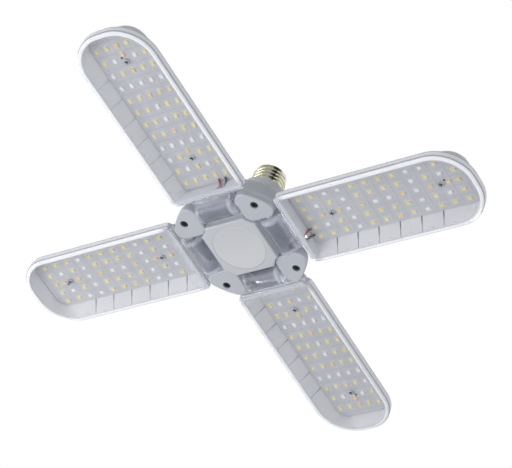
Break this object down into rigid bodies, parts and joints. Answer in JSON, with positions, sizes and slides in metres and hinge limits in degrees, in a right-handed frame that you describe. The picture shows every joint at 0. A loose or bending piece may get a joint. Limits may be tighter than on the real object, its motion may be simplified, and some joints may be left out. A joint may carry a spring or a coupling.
{
  "type": "folding led grow bulb",
  "caption": "Screw-in grow light bulb: white bell housing under a threaded cap, with flat folding blades of warm, white and red lights under clear covers.",
  "frame": {"origin": "on the lamp's axis, in the middle of the plain band at the foot of the screw shell", "axes": "+Z along the lamp's axis towards the centre contact, lights facing -Z; the blades lie along -Y (a), +X (b), +Y (c) and -X (d)"},
  "size_m": [0.389, 0.389, 0.0904],
  "materials": {
    "white_plastic": "moulded white, satin gloss",
    "tray_plastic": "moulded white, matte",
    "clear_cover": "clear moulded plastic, polished",
    "shell_metal": "nickel-plated, softly polished",
    "contact_metal": "bright brass",
    "insulator": "glossy black-violet glass",
    "label": "bare printed sheet, matte",
    "black_screw": "black oxide",
    "steel_screw": "plated steel",
    "driver_board": "green circuit board",
    "capacitor_sleeve": "shrink sleeve",
    "ferrite": "dark ferrite",
    "winding": "yellow tape over copper wire",
    "choke": "dark drum in a shrink sleeve",
    "film_box": "dipped film",
    "chip_body": "moulded black",
    "fuse_body": "grey-green coating",
    "wire_white": "silicone insulation",
    "wire_red": "red insulation",
    "wire_black": "black insulation",
    "sleeve": "soft clear sleeve",
    "led_board": "aluminium board under matte white lacquer",
    "led_warm": "yellow phosphor in a white package",
    "led_white": "pale phosphor in a white package",
    "led_red": "clear lens in a white package"
  },
  "bodies": {
    "hub": {"screw_shell": "shell_metal", "cap_insulator": "insulator", "centre_contact": "contact_metal", "upper_housing": "white_plastic", "lower_cover": "white_plastic", "label_disc": "label", "cover_screws": "black_screw", "driver_board": "driver_board", "input_capacitor": "capacitor_sleeve", "output_capacitor": "capacitor_sleeve", "transformer_core": "ferrite", "transformer_winding": "winding", "choke": "choke", "film_capacitor": "film_box", "bridge_rectifier": "chip_body", "driver_chip": "chip_body", "fuse_resistor": "fuse_body", "live_wire": "wire_white", "neutral_wire": "wire_white", "hub_leads_red": "wire_red", "hub_leads_black": "wire_black", "lead_sleeves": "sleeve"},
    "blade_a": {"blade_a_cover": "clear_cover", "blade_a_tray": "tray_plastic", "blade_a_board": "led_board", "blade_a_leds_warm": "led_warm", "blade_a_leds_white": "led_white", "blade_a_leds_red": "led_red", "blade_a_board_screws": "steel_screw", "blade_a_lead_red": "wire_red", "blade_a_lead_black": "wire_black"},
    "blade_b": {"blade_b_cover": "clear_cover", "blade_b_tray": "tray_plastic", "blade_b_board": "led_board", "blade_b_leds_warm": "led_warm", "blade_b_leds_white": "led_white", "blade_b_leds_red": "led_red", "blade_b_board_screws": "steel_screw", "blade_b_lead_red": "wire_red", "blade_b_lead_black": "wire_black"},
    "blade_c": {"blade_c_cover": "clear_cover", "blade_c_tray": "tray_plastic", "blade_c_board": "led_board", "blade_c_leds_warm": "led_warm", "blade_c_leds_white": "led_white", "blade_c_leds_red": "led_red", "blade_c_board_screws": "steel_screw", "blade_c_lead_red": "wire_red", "blade_c_lead_black": "wire_black"},
    "blade_d": {"blade_d_cover": "clear_cover", "blade_d_tray": "tray_plastic", "blade_d_board": "led_board", "blade_d_leds_warm": "led_warm", "blade_d_leds_white": "led_white", "blade_d_leds_red": "led_red", "blade_d_board_screws": "steel_screw", "blade_d_lead_red": "wire_red", "blade_d_lead_black": "wire_black"}
  },
  "joints": [
    {"name": "hinge_a", "type": "hinge", "parent": "hub", "child": "blade_a", "pos_m": [0, -0.034, -0.056], "axis": [1, 0, 0], "range_deg": [0, 90]},
    {"name": "hinge_b", "type": "hinge", "parent": "hub", "child": "blade_b", "pos_m": [0.034, 0, -0.056], "axis": [0, 1, 0], "range_deg": [0, 90]},
    {"name": "hinge_c", "type": "hinge", "parent": "hub", "child": "blade_c", "pos_m": [0, 0.034, -0.056], "axis": [-1, 0, 0], "range_deg": [0, 90]},
    {"name": "hinge_d", "type": "hinge", "parent": "hub", "child": "blade_d", "pos_m": [-0.034, 0, -0.056], "axis": [0, -1, 0], "range_deg": [0, 90]}
  ]
}
